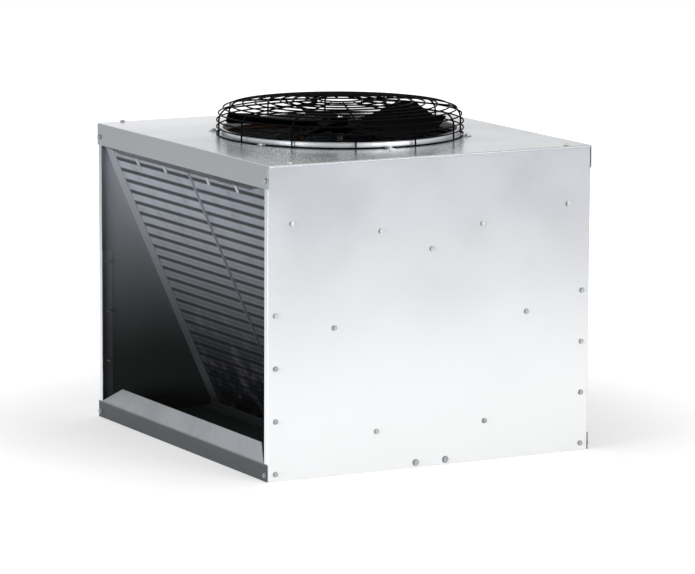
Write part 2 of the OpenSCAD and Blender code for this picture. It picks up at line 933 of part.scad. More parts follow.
module liquid_line() {
    past = riser_past(liquid_line_diameter);
    tee_line(liquid_crossover(), liquid_riser(past), liquid_riser(past - line_wall), liquid_line_diameter);
}

module tee_line(across, riser, riser_bore, diameter) {
    color([0.74, 0.46, 0.31])
        difference() {
            union() {
                run(across, crossover_radius(diameter), line_bend);
                run(riser, diameter / 2, line_bend);
            }
            run(across, crossover_radius(diameter) - line_wall, line_bend);
            run(riser_bore, diameter / 2 - line_wall, line_bend);
        }
}

// A brass fitting: shank through the panel, hexagon outside it and a threaded end
module line_fitting(x, stub, line_diameter) {
    radius = stub / 2;
    color([0.78, 0.64, 0.35])
        translate([x, panel_in - fitting_shank_inset, fitting_height])
            rotate([-90, 0, 0])
                difference() {
                    union() {
                        cylinder(r = radius, h = fitting_shank_inset + sheet);
                        translate([0, 0, fitting_shank_inset + sheet])
                            cylinder(r = radius + fitting_hex_over, h = fitting_hex_height, $fn = 6);
                        translate([0, 0, fitting_shank_inset + sheet + fitting_hex_height])
                            cylinder(r = radius, h = fitting_stub_length - fitting_nose);
                        translate([0, 0, fitting_shank_inset + sheet + fitting_hex_height
                                + fitting_stub_length - fitting_nose])
                            cylinder(r1 = radius, r2 = radius - fitting_nose / 2, h = fitting_nose);
                    }
                    translate([0, 0, -overrun])
                        cylinder(r = line_diameter / 2 + seat_gap,
                            h = fitting_shank_inset + 2 * sheet + overrun + seat_gap);
                    translate([0, 0, -overrun])
                        cylinder(r = line_diameter / 2 - line_wall,
                            h = fitting_shank_inset + sheet + fitting_hex_height
                                + fitting_stub_length + 2 * overrun);
                }
}

module fitting_lock_nuts() {
    color([0.76, 0.62, 0.34])
        for (f = [[gas_line_x, gas_stub_diameter], [0, liquid_stub_diameter]])
            translate([f[0], panel_in, fitting_height])
                rotate([90, 0, 0])
                    difference() {
                        cylinder(r = f[1] / 2 + fitting_hex_over, h = lock_nut_height, $fn = 6);
                        translate([0, 0, -overrun])
                            cylinder(r = f[1] / 2 + seat_gap, h = lock_nut_height + 2 * overrun);
                    }
}

// The motor's bracket: a channel web with sides turned down, and a flared flange at each end
module motor_bracket() {
    t = bracket_thickness;
    half = panel_in - seat_gap;
    color([0.7, 0.72, 0.74])
        difference() {
            union() {
                translate([0, half, bracket_z + t])
                    rotate([90, 0, 0])
                        linear_extrude(2 * half)
                            channel(bracket_width, bracket_side + t, t);
                both_sides()
                    translate([0, -half, bracket_z + t])
                        upright(t)
                            polygon([
                                [-bracket_flange_top / 2, 0], [bracket_flange_top / 2, 0],
                                [bracket_flange_top / 2, -bracket_side],
                                [bracket_flange_bottom / 2, -bracket_flange_height],
                                [-bracket_flange_bottom / 2, -bracket_flange_height],
                                [-bracket_flange_top / 2, -bracket_side]
                            ]);
            }
            holes_along_y(bracket_places(), screw_radius + hole_clearance);
            motor_stud_places()
                translate([0, 0, -stud_length])
                    cylinder(r = stud_radius + hole_clearance, h = stud_length + overrun);
        }
}

module motor_stud_places() {
    for (i = [0 : 3])
        rotate([0, 0, 45 + i * 90])
            translate([stud_circle / 2, 0, motor_base])
                children();
}

module motor_shell() {
    color([0.12, 0.12, 0.13])
        difference() {
            translate([0, 0, motor_base + bell_rim])
                rotate_extrude($fn = 96)
                    translate([motor_radius - shell_wall, 0])
                        square([shell_wall, motor_length - 2 * bell_rim]);
            translate([0, 0, lead_exit_z])
                rotate([0, -90, 0])
                    cylinder(r = lead_radius + seat_gap, h = motor_diameter);
        }
}

// An end bell: a dished cover with a boss that holds the bearing
module end_bell_outline() {
    inner = motor_radius - shell_wall;
    difference() {
        union() {
            translate([shaft_radius + 2 * seat_gap, 0])
                square([motor_radius - shell_wall - shaft_radius, bell_plate]);
            translate([motor_radius - 2 * shell_wall, 0]) square([2 * shell_wall, bell_rim]);
            translate([inner - shell_wall, 0]) square([shell_wall - seat_gap, bell_rim + bell_plate]);
            translate([shaft_radius + 2 * seat_gap, 0])
                square([bell_boss_radius - shaft_radius, bell_boss_height]);
        }
        translate([0, bell_plate])
            square([bearing_radius + seat_gap, bell_boss_height]);
        translate([motor_radius - shell_wall, -overrun])
            difference() {
                square([2 * shell_wall, shell_wall + overrun]);
                translate([0, shell_wall + overrun]) circle(r = shell_wall);
            }
    }
}

module lower_end_bell() {
    color([0.1, 0.1, 0.11]) {
        translate([0, 0, motor_base]) rotate_extrude($fn = 96) end_bell_outline();
        motor_stud_places()
            translate([0, 0, -stud_length]) cylinder(r = stud_radius, h = stud_length + bell_plate / 2);
    }
}

module upper_end_bell() {
    color([0.1, 0.1, 0.11])
        translate([0, 0, motor_top])
            mirror([0, 0, 1])
                rotate_extrude($fn = 96)
                    end_bell_outline();
}

function core_low() = motor_base + (motor_length - stator_height) / 2;

module stator() {
    bore = rotor_radius + air_gap;
    outer = motor_radius - shell_wall - seat_gap;
    color([0.45, 0.3, 0.2])
        translate([0, 0, core_low()])
            rotate_extrude($fn = 96) {
                translate([bore, 0]) square([outer - bore, stator_height]);
                for (z = [0, stator_height])
                    translate([(bore + outer) / 2, z])
                        circle(r = winding_height);
            }
}

module rotor() {
    color([0.5, 0.5, 0.52])
        translate([0, 0, core_low()])
            difference() {
                cylinder(r = rotor_radius, h = stator_height, $fn = 96);
                translate([0, 0, -overrun])
                    cylinder(r = shaft_radius + seat_gap, h = stator_height + 2 * overrun);
            }
}

module bearing(z) {
    color([0.8, 0.8, 0.82])
        translate([0, 0, z])
            difference() {
                cylinder(r = bearing_radius, h = bearing_height);
                translate([0, 0, -overrun])
                    cylinder(r = shaft_radius + running_clearance, h = bearing_height + 2 * overrun);
            }
}

module motor_bearings() {
    bearing(motor_top - bell_plate - seat_gap - bearing_height);
    bearing(motor_base + bell_plate + seat_gap);
}

function hub_low() = fan_z - hub_height / 2;

// The shaft ends in the hub, where the set screw bears on its flat
module motor_shaft() {
    low = motor_base + bell_plate + seat_gap;
    high = hub_low() + hub_height + shaft_over_hub;
    color([0.75, 0.76, 0.78])
        difference() {
            translate([0, 0, low]) cylinder(r = shaft_radius, h = high - low);
            translate([shaft_radius - shaft_flat, -shaft_radius, hub_low()])
                cube([shaft_radius, shaft_diameter, hub_height + shaft_over_hub + overrun]);
        }
}

module motor_nuts() {
    color([0.75, 0.76, 0.78])
        motor_stud_places()
            translate([0, 0, -bracket_thickness - nut_height - seat_gap])
                difference() {
                    cylinder(r = nut_across / 2 / cos(30), h = nut_height, $fn = 6);
                    translate([0, 0, -overrun])
                        cylinder(r = stud_radius + seat_gap, h = nut_height + 2 * overrun);
                }
}

module fan_hub() {
    color([0.3, 0.3, 0.32])
        difference() {
            translate([0, 0, hub_low()]) {
                cylinder(r = hub_radius, h = hub_height);
                translate([0, 0, hub_height / 2 - spider_thickness / 2 - hub_flange_height])
                    cylinder(r = hub_flange, h = hub_flange_height);
            }
            translate([0, 0, hub_low() - overrun])
                cylinder(r = shaft_radius + hole_clearance, h = hub_height + 2 * overrun);
            set_screw_axis() cylinder(r = set_screw_radius + seat_gap, h = hub_radius + overrun);
        }
}

module set_screw_axis() {
    translate([0, 0, fan_z + hub_height / 4 + spider_thickness / 2])
        rotate([0, 90, 0])
            children();
}

module hub_set_screw() {
    color([0.2, 0.2, 0.2])
        set_screw_axis()
            translate([0, 0, shaft_radius - shaft_flat + seat_gap])
                difference() {
                    cylinder(r = set_screw_radius, h = set_screw_length);
                    translate([0, 0, set_screw_length / 2])
                        cylinder(r = set_screw_radius / 2, h = set_screw_length, $fn = 4);
                }
}

// Turns the children to each blade's place
module each_blade() {
    for (i = [0 : blade_count - 1])
        rotate([0, 0, i * 360 / blade_count])
            translate([0, 0, fan_z])
                children();
}

// The spider: a disc with one arm for each blade, turned to the blade's pitch
module fan_spider() {
    color([0.1, 0.1, 0.11])
        difference() {
            union() {
                translate([0, 0, fan_z - spider_thickness / 2])
                    cylinder(r = spider_disc, h = spider_thickness);
                each_blade()
                    rotate([blade_pitch, 0, 0])
                        translate([arm_root, 0, -arm_drop() - spider_thickness])
                            arm();
            }
            translate([0, 0, fan_z - hub_height / 2])
                cylinder(r = hub_radius + seat_gap, h = hub_height);
            rivet_bores();
        }
}

function arm_drop() = blade_thickness / 2 + seat_gap;

module arm() {
    straight = arm_length - arm_root - arm_width / 2;
    translate([0, -arm_width / 2, 0]) cube([straight, arm_width, spider_thickness]);
    translate([straight, 0, 0]) cylinder(r = arm_width / 2, h = spider_thickness);
}

module rivet_bores() {
    each_blade()
        rotate([blade_pitch, 0, 0])
            for (x = rivet_places)
                translate([x, 0, -blade_reach / 2])
                    cylinder(r = rivet_radius + seat_gap, h = blade_reach);
}

// A blade is a piece of a thin cylinder, cut to the outline seen from above
module fan_blades() {
    color([0.08, 0.08, 0.09])
        difference() {
            each_blade()
                intersection() {
                    rotate([blade_pitch, 0, 0]) blade_shell();
                    translate([0, 0, -blade_reach / 2]) linear_extrude(blade_reach) blade_outline();
                }
            rivet_bores();
        }
}

module blade_shell() {
    translate([0, 0, blade_camber_radius])
        rotate([0, 90, 0])
            difference() {
                cylinder(r = blade_camber_radius + blade_thickness / 2, h = fan_radius + overrun, $fn = 96);
                translate([0, 0, -overrun])
                    cylinder(r = blade_camber_radius - blade_thickness / 2,
                        h = fan_radius + 3 * overrun, $fn = 96);
            }
}

// Half widths grow from the root to the tip and close in a rounded corner; the blade sweeps forward
function blade_half(s) = (blade_root_width + (blade_tip_width - blade_root_width) * s) / 2;
function blade_round(s) = sqrt(1 - pow(s, 8));
function blade_middle(s) = blade_sweep * s * s;
function blade_r(s) = blade_root + (fan_radius * 1.02 - blade_root) * s;

module blade_outline() {
    lead = [for (i = [0 : blade_steps]) let (s = i / blade_steps)
        [blade_r(s), blade_middle(s) + blade_half(s) * blade_round(s)]];
    trail = [for (i = [blade_steps - 1 : -1 : 0]) let (s = i / blade_steps)
        [blade_r(s), blade_middle(s) - blade_half(s) * blade_round(s)]];
    intersection() {
        circle(r = fan_radius, $fn = 96);
        polygon(concat(lead, trail));
    }
}

module blade_rivets() {
    color([0.3, 0.3, 0.31])
        each_blade()
            rotate([blade_pitch, 0, 0])
                for (x = rivet_places)
                    translate([x, 0, 0])
                        rivet();
}

module rivet() {
    low = -arm_drop() - spider_thickness - seat_gap;
    high = blade_thickness / 2 + seat_gap;
    translate([0, 0, low]) cylinder(r = rivet_radius, h = high - low);
    translate([0, 0, high]) cylinder(r = rivet_head, h = rivet_head_height);
    translate([0, 0, low - rivet_head_height]) cylinder(r = rivet_head, h = rivet_head_height);
}

// The guard's profile: an upright side, a rounded shoulder and a domed top
function shoulder_r(angle, inset) = shoulder_centre_r + (guard_shoulder - inset) * cos(angle);
function shoulder_z(angle, inset) = shoulder_centre_z + (guard_shoulder - inset) * sin(angle);
function dome_z(r, inset) = dome_centre_z + sqrt(pow(dome_radius - inset, 2) - r * r);

module ring(r, z) {
    translate([0, 0, z])
        rotate_extrude($fn = 96)
            translate([r, 0])
                circle(r = ring_radius);
}

module guard_rings() {
    color([0.06, 0.06, 0.07]) {
        for (i = [0 : side_rings])
            let (rise = i * (guard_side - ring_radius) / side_rings)
                ring(guard_foot_radius, cabinet_height + ring_radius + rise);
        for (i = [1 : shoulder_rings])
            let (angle = i * shoulder_sweep / shoulder_rings)
                ring(shoulder_r(angle, 0), shoulder_z(angle, 0));
        for (i = [1 : top_rings])
            let (r = dome_start_r - i * top_ring_pitch)
                ring(r, dome_z(r, 0));
    }
}

// The radial wires follow the same profile just inside the rings
module guard_ribs() {
    color([0.06, 0.06, 0.07])
        for (i = [0 : rib_count - 1])
            rotate([0, 0, guard_turn + i * 360 / rib_count])
                guard_rib();
}

module guard_rib() {
    inset = ring_radius + rib_radius + running_clearance;
    foot = cabinet_height + running_clearance;
    stop_r = dome_start_r - top_rings * top_ring_pitch;
    stop_angle = asin(stop_r / dome_radius);
    lap = joint_lap / guard_shoulder * 180 / PI;
    translate([guard_foot_radius - inset, 0, foot])
        cylinder(r = rib_radius, h = shoulder_centre_z - foot);
    translate([shoulder_centre_r, 0, shoulder_centre_z])
        rotate([90, 0, 0])
            rotate([0, 0, -lap])
                rotate_extrude(angle = shoulder_sweep + 2 * lap)
                    translate([guard_shoulder - inset, 0])
                        circle(r = rib_radius * bend_share);
    translate([0, 0, dome_centre_z])
        rotate([90, 0, 0])
            rotate([0, 0, 90 - dome_angle])
                rotate_extrude(angle = dome_angle - stop_angle, $fn = dome_facets)
                    translate([dome_radius - inset, 0])
                        circle(r = rib_radius, $fn = 24);
}

// Straps that hold the foot ring down on the top sheet
module guard_clips() {
    color([0.7, 0.72, 0.73])
        difference() {
            for (i = [0 : clip_count - 1])
                rotate([0, 0, clip_turn(i) - clip_angle / 2])
                    translate([0, 0, cabinet_height])
                        rotate_extrude(angle = clip_angle, $fn = 96)
                            clip_outline();
            clip_screw_holes(sheet);
        }
}

module clip_outline() {
    inner = ring_radius + seat_gap;
    outer = inner + clip_thickness;
    difference() {
        translate([guard_foot_radius, ring_radius]) {
            circle(r = outer);
            translate([-outer, -ring_radius]) square([2 * outer, ring_radius]);
        }
        translate([guard_foot_radius, ring_radius]) {
            circle(r = inner);
            translate([-inner, -ring_radius - overrun]) square([2 * inner, ring_radius + overrun]);
            translate([-2 * outer, -ring_radius - 3 * overrun]) square([4 * outer, 3 * overrun]);
        }
    }
    translate([guard_foot_radius + inner, 0]) square([clip_foot, clip_thickness]);
}

// The motor's lead runs beside the bracket, down the far panel and through a grommet
function lead_path() = [
    [-motor_radius + shell_wall, 0, lead_exit_z],
    [-motor_radius - lead_bend - lead_radius, 0, lead_exit_z],
    [-motor_radius - lead_bend - lead_radius, 0, bracket_z - lead_drop],
    [box_x, 0, bracket_z - lead_drop],
    [box_x, lead_y, bracket_z - lead_drop],
    [box_x, lead_y, box_z],
    [box_x, panel_out + box_wall + terminal_height, box_z]
];

module motor_lead() {
    color([0.05, 0.05, 0.06]) run(lead_path(), lead_radius, lead_bend);
}

// Straps that hold the lead against the bracket's side
module lead_clips() {
    z = bracket_z - lead_drop;
    outer = lead_radius + seat_gap + lead_clip_wall;
    color([0.6, 0.62, 0.64])
        for (share = [0.3, 0.55, 0.8])
            translate([-lead_x, share * panel_in, z])
                rotate([-90, 0, 0])
                    linear_extrude(clip_width)
                        difference() {
                            union() {
                                circle(r = outer);
                                translate([0, -outer]) square([lead_x - bracket_width / 2, 2 * outer]);
                            }
                            circle(r = lead_radius + seat_gap);
                            translate([lead_x - bracket_width / 2, -2 * outer]) square(4 * outer);
                        }
}

module lead_grommet() {
    color([0.08, 0.08, 0.08])
        translate([box_x, panel_in, box_z])
            rotate([-90, 0, 0])
                difference() {
                    union() {
                        cylinder(r = grommet_radius, h = sheet + box_wall);
                        for (z = [-grommet_lip_height, sheet + box_wall])
                            translate([0, 0, z])
                                cylinder(r = grommet_lip, h = grommet_lip_height);
                    }
                    translate([0, 0, -2 * grommet_lip_height])
                        cylinder(r = lead_radius + seat_gap, h = sheet + box_wall + 5 * grommet_lip_height);
                }
}

// The wiring box on the far panel's outer face, with its capacitor and terminals
module junction_box() {
    color([0.78, 0.8, 0.82])
        difference() {
            translate([box_x, panel_out, box_z]) boxed(box_width, box_depth, box_height);
            translate([box_x, panel_out + box_wall, box_z])
                boxed(box_width - 2 * box_wall, box_depth, box_height - 2 * box_wall);
            translate([box_x, panel_out - overrun, box_z])
                rotate([-90, 0, 0])
                    cylinder(r = grommet_radius + hole_clearance, h = box_wall + 2 * overrun);
            holes_at_box(sheet + box_wall);
            translate([box_x + box_width / 4, panel_out + box_depth / 2, box_z - box_height / 2 - overrun])
                cylinder(r = conduit_hole / 2, h = box_wall + 2 * overrun);
            cover_screw_holes();
        }
}

module cover_screw_holes() {
    for (x = [-1, 1])
        translate([box_x + x * (box_width / 2 + overrun), cover_screw_y(), box_z])
            rotate([0, -x * 90, 0])
                cylinder(r = screw_radius + hole_clearance, h = box_wall + 3 * overrun);
}

function cover_screw_y() = panel_out + box_depth - cover_lip / 2;

module junction_box_cover() {
    edge = box_wall + seat_gap;
    color([0.8, 0.82, 0.84])
        difference() {
            translate([box_x, panel_out + box_depth - cover_lip, box_z])
                boxed(box_width + 2 * edge, cover_lip + edge, box_height + 2 * edge);
            translate([box_x, panel_out + box_depth - cover_lip - overrun, box_z])
                boxed(box_width + 2 * seat_gap, cover_lip + overrun + seat_gap, box_height + 2 * seat_gap);
            for (x = [-1, 1])
                translate([box_x + x * (box_width / 2 + box_wall + 2 * overrun), cover_screw_y(), box_z])
                    rotate([0, -x * 90, 0])
                        cylinder(r = screw_radius + hole_clearance, h = box_wall + 3 * overrun);
        }
}

// A block centred in X and Z that starts at y = 0
module boxed(width, depth, height) {
    translate([-width / 2, 0, -height / 2]) cube([width, depth, height]);
}

module terminal_block() {
    color([0.1, 0.1, 0.1])
        translate([
            box_x - box_width / 2 + box_wall + free_gap, panel_out + box_wall,
            box_z - box_height / 2 + box_wall + seat_gap
        ]) {
            cube([terminal_length, terminal_height, terminal_width]);
            for (i = [0 : 2])
                translate([(i + 0.5) * terminal_length / 3, terminal_height, terminal_width / 2])
                    rotate([-90, 0, 0])
                        cylinder(r = post_radius, h = post_size);
        }
}

// Screws through the side panels stand with their heads outside
module screws_on_sides(places) {
    both_sides()
        for (p = places)
            translate([p[0], -panel_out, p[1]])
                rotate([90, 0, 0])
                    children();
}

module panel_screws() {
    color([0.45, 0.46, 0.48]) screws_on_sides(edge_places()) sheet_screw();
}

module coil_screws() {
    color([0.45, 0.46, 0.48]) screws_on_sides(coil_places()) sheet_screw();
}

module bracket_screws() {
    color([0.45, 0.46, 0.48]) screws_on_sides(bracket_places()) sheet_screw();
}

module base_bolts() {
    color([0.4, 0.41, 0.43])
        screws_on_sides(bolt_places())
            hex_screw(bolt_radius, bolt_washer, bolt_head_across, bolt_length);
}

module end_screws() {
    color([0.45, 0.46, 0.48])
        four_corners()
            for (z = end_places())
                translate([-half_length, -half_depth + end_screw_inset, z])
                    rotate([0, -90, 0])
                        sheet_screw();
}

module top_screws() {
    color([0.45, 0.46, 0.48]) {
        for (x = top_places(), y = [-1, 1])
            translate([x, y * (panel_out - top_flange / 2), cabinet_height])
                sheet_screw();
        for (i = [0 : clip_count - 1])
            translate([clip_place(i)[0], clip_place(i)[1], cabinet_height + clip_thickness])
                sheet_screw();
    }
}

module box_screws() {
    color([0.45, 0.46, 0.48]) {
        for (p = box_back_places())
            translate([p[0], panel_out + box_wall, p[1]])
                rotate([-90, 0, 0])
                    sheet_screw();
        for (x = [-1, 1])
            translate([box_x + x * (box_width / 2 + box_wall + seat_gap), cover_screw_y(), box_z])
                rotate([0, x * 90, 0])
                    sheet_screw();
    }
}

near_side_panel();
far_side_panel();
top_panel();
base_pan();
corner_posts();
fan_orifice();
coil_foot_channel();
fins(-1);  // left_fins
fins(1);  // right_fins
tubes(-1);  // left_tubes
tubes(1);  // right_tubes
return_bends(-1);  // left_return_bends
return_bends(1);  // right_return_bends
tube_sheet(-1, -1);  // left_near_tube_sheet
tube_sheet(-1, 1);  // left_far_tube_sheet
tube_sheet(1, -1);  // right_near_tube_sheet
tube_sheet(1, 1);  // right_far_tube_sheet
centre_support(-1);  // left_centre_support
centre_support(1);  // right_centre_support
top_seal(-1);  // left_top_seal
top_seal(1);  // right_top_seal
manifold(-1, tubes_per_row - 1, gas_crossover(), crossover_radius(gas_line_diameter));  // left_gas_manifold
manifold(1, tubes_per_row - 1, gas_crossover(), crossover_radius(gas_line_diameter));  // right_gas_manifold
manifold(-1, 0, liquid_crossover(), crossover_radius(liquid_line_diameter));  // left_liquid_manifold
manifold(1, 0, liquid_crossover(), crossover_radius(liquid_line_diameter));  // right_liquid_manifold
gas_line();
liquid_line();
line_fitting(gas_line_x, gas_stub_diameter, gas_line_diameter);  // gas_fitting
line_fitting(0, liquid_stub_diameter, liquid_line_diameter);  // liquid_fitting
fitting_lock_nuts();
motor_bracket();
motor_shell();
upper_end_bell();
lower_end_bell();
stator();
rotor();
motor_bearings();
motor_shaft();
motor_nuts();
fan_hub();
fan_spider();
fan_blades();
blade_rivets();
hub_set_screw();
guard_rings();
guard_ribs();
guard_clips();
motor_lead();
lead_clips();
lead_grommet();
junction_box();
junction_box_cover();
terminal_block();
panel_screws();
coil_screws();
bracket_screws();
base_bolts();
end_screws();
top_screws();
box_screws();
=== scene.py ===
import json
import math
import bpy
from mathutils import Matrix, Vector


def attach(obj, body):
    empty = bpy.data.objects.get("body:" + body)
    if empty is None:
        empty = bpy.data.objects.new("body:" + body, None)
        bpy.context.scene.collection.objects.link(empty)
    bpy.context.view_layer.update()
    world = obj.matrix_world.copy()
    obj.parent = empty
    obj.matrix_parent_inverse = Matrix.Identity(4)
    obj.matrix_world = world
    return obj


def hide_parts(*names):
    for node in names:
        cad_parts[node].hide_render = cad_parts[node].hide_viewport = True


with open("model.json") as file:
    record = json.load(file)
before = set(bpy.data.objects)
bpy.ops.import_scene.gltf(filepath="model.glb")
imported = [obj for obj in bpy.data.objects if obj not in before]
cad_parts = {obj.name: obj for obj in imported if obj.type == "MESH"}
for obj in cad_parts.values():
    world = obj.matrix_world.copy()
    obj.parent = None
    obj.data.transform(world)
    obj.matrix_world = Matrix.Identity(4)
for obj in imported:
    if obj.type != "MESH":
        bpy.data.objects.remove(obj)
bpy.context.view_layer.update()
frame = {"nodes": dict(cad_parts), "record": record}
nodes = frame["nodes"]


# a socket of a shader graph that can be added, scaled and mixed like a number
class Wire:
    def __init__(self, graph, socket):
        self.graph, self.socket = graph, socket

    def maths(self, operation, *values):
        return self.graph.node("ShaderNodeMath", {"operation": operation}, dict(enumerate(values)))

    def __add__(self, other):
        return self.maths("ADD", self, other)

    def __sub__(self, other):
        return self.maths("SUBTRACT", self, other)

    def __rsub__(self, other):
        return self.maths("SUBTRACT", other, self)

    def __mul__(self, other):
        return self.maths("MULTIPLY", self, other)

    __radd__, __rmul__ = __add__, __mul__

    def sibling(self, name):  # another output of the same node
        return Wire(self.graph, self.socket.node.outputs[name])

    def centred(self):  # a noise from 0 to 1 becomes one from -0.5 to 0.5
        return self - 0.5

    def above(self, low, high):  # 0 below low, 1 above high, smooth between
        return self.graph.node("ShaderNodeMapRange", {"interpolation_type": "SMOOTHSTEP"},
                               {0: self, 1: low, 2: high, 3: 0.0, 4: 1.0})


class Graph:
    def __init__(self, owner):
        owner.use_nodes = True
        self.owner, self.tree = owner, owner.node_tree
        self.tree.nodes.clear()

    def node(self, kind, settings=None, inputs=None, out=0):
        made = self.tree.nodes.new(kind)
        for key, value in (settings or {}).items():
            setattr(made, key, value)
        for key, value in (inputs or {}).items():
            if isinstance(value, Wire):
                self.tree.links.new(value.socket, made.inputs[key])
            else:
                made.inputs[key].default_value = value
        return Wire(self, made.outputs[out]) if len(made.outputs) else made

    def seenPlainly(self):  # 1 for what the camera sees straight, in a mirror or through glass
        path = self.node("ShaderNodeLightPath", out="Is Camera Ray")
        mirror = path.maths("MAXIMUM", path, path.sibling("Is Glossy Ray"))
        return path.maths("MAXIMUM", mirror, path.sibling("Is Transmission Ray"))


class Finish(Graph):
    def __init__(self, name):
        super().__init__(bpy.data.materials.new(name))
        self.place = self.node("ShaderNodeTexCoord", out="Object")

    def noise(self, scale, detail, rough, place=None):
        inputs = {"Vector": place or self.place, "Scale": scale, "Detail": detail, "Roughness": rough}
        return self.node("ShaderNodeTexNoise", None, inputs)

    def axis(self, name):
        return self.node("ShaderNodeSeparateXYZ", None, {0: self.place}, name)

    def moved(self, shift):
        return self.node("ShaderNodeVectorMath", {"operation": "ADD"}, {0: self.place, 1: (shift,) * 3})

    def inside(self, halfLength, halfDepth, top):  # 1 on faces between the side panels, below the top
        x, y = (self.axis(name).maths("ABSOLUTE", self.axis(name)) for name in "XY")
        within = x.maths("LESS_THAN", x, halfLength) * y.maths("LESS_THAN", y, halfDepth)
        return within * x.maths("LESS_THAN", self.axis("Z"), top)

    def mixed(self, factor, first, second):
        def colour(value):
            return value if isinstance(value, Wire) else (*value, 1.0)
        return self.node("ShaderNodeMix", {"data_type": "RGBA"},
                         {0: factor, 6: colour(first), 7: colour(second)}, 2)

    def bump(self, height, strength, distance):
        inputs = {"Height": height, "Strength": strength, "Distance": distance}
        return self.node("ShaderNodeBump", None, inputs)

    def surface(self, **sockets):
        shader = self.node("ShaderNodeBsdfPrincipled", None,
                           {key.replace("_", " "): value for key, value in sockets.items()})
        return self.finished(shader)

    def finished(self, shader):
        self.node("ShaderNodeOutputMaterial", None, {0: shader})
        return self.owner


# what all the metal finishes share: each noise's detail and roughness, the band of it that shows, and
# how much it roughens the surface; the height band is where the painted shade on the inside goes from dark
# to lighter
metalGrain = dict(patchNoise=(3.0, 0.55), patchBand=(0.35, 0.68), patchRough=0.05,
                  tintNoise=(2.0, 0.5), tintBand=(0.45, 0.70), tintScale=0.6, tintShift=3.7,
                  fineNoise=(2.0, 0.6), fineScale=3.0, depth=0.0003, spangleRough=0.4,
                  dustAndShadeBand=(0.10, 0.62), dustRough=0.15, dustMetal=0.1)


# zinc coated sheet, steel, copper or brass: faint cloudy patches, a fine spangle and a satin surface;
# where a look says so, painted light and shade: lighter to the far side, lighter or darker low down, and on
# the side that faces into the cabinet a painted shade, dark towards the floor, on a rougher, less metallic
# surface
def galvanised(name, look, grain):
    f = Finish(name)
    patches = f.noise(look["patchScale"], *grain["patchNoise"]).above(*grain["patchBand"])
    apart = f.moved(grain["tintShift"])
    tinted = f.noise(look["patchScale"] * grain["tintScale"], *grain["tintNoise"], apart)
    cells = {"Vector": f.place, "Scale": look["spangleScale"]}
    spangle = f.node("ShaderNodeTexVoronoi", {"feature": "F1"}, cells, "Color")
    grains = f.node("ShaderNodeSeparateColor", None, {0: spangle}, 0)
    fine = f.noise(look["spangleScale"] * grain["fineScale"], *grain["fineNoise"])
    colour = f.mixed(patches, look["colour"], look["shade"])
    colour = f.mixed(tinted.above(*grain["tintBand"]) * look["tintAmount"], colour, look["tint"])
    colour = f.mixed(grains * look["spangleAmount"], colour, look["shade"])
    rough = look["roughness"] + grains.centred() * look["spangleAmount"] * grain["spangleRough"]
    rough = rough + patches * grain["patchRough"]
    metal = look["metallic"]
    # painted highlight: the sheet turns lighter towards the far side
    if "paintedFarHighlight" in look:
        colour = f.mixed(f.axis("Y").above(*look["farBand"]), colour, look["paintedFarHighlight"])
    # painted light and shade low down: the side panel lighter towards the floor, the top's header and the
    # base rail's low face darker
    if "paintedLowShading" in look:
        low = 1.0 - f.axis("Z").above(*look["lowBand"])
        colour = f.mixed(low, colour, look["paintedLowShading"])
    # painted shade on the faces inside the cabinet, darkest towards the floor; there the surface is also
    # rougher and less metallic
    if "inside" in look:
        inner = f.inside(*look["inside"])
        high = f.axis("Z").above(*grain["dustAndShadeBand"])
        colour = f.mixed(inner, colour, f.mixed(high, look["deep"], look["dusty"]))
        rough = rough + inner * grain["dustRough"]
        metal = metal - inner * (metal - grain["dustMetal"])
    return f.surface(Base_Color=colour, Metallic=metal, Roughness=rough,
                     Normal=f.bump(fine, look["bump"], grain["depth"]))


# what the paints share, named as above
paintGrain = dict(cloudNoise=(3.0, 0.55), cloudBand=(0.35, 0.70), cloudRough=0.12,
                  speckNoise=(2.0, 0.6), speckScale=14.0, speckRough=0.06, depth=0.0003)


# paint, plastic or bare core steel: soft clouding and a fine speckle
def painted(name, look, grain):
    f = Finish(name)
    cloud = f.noise(look["scale"], *grain["cloudNoise"])
    speck = f.noise(look["scale"] * grain["speckScale"], *grain["speckNoise"])
    colour = f.mixed(cloud.above(*grain["cloudBand"]), look["colour"], look["shade"])
    rough = look["roughness"] + cloud.centred() * grain["cloudRough"] + speck.centred() * grain["speckRough"]
    return f.surface(Base_Color=colour, Metallic=look["metallic"], Roughness=rough,
                     Specular_IOR_Level=look["gloss"], Normal=f.bump(speck, look["bump"], grain["depth"]))
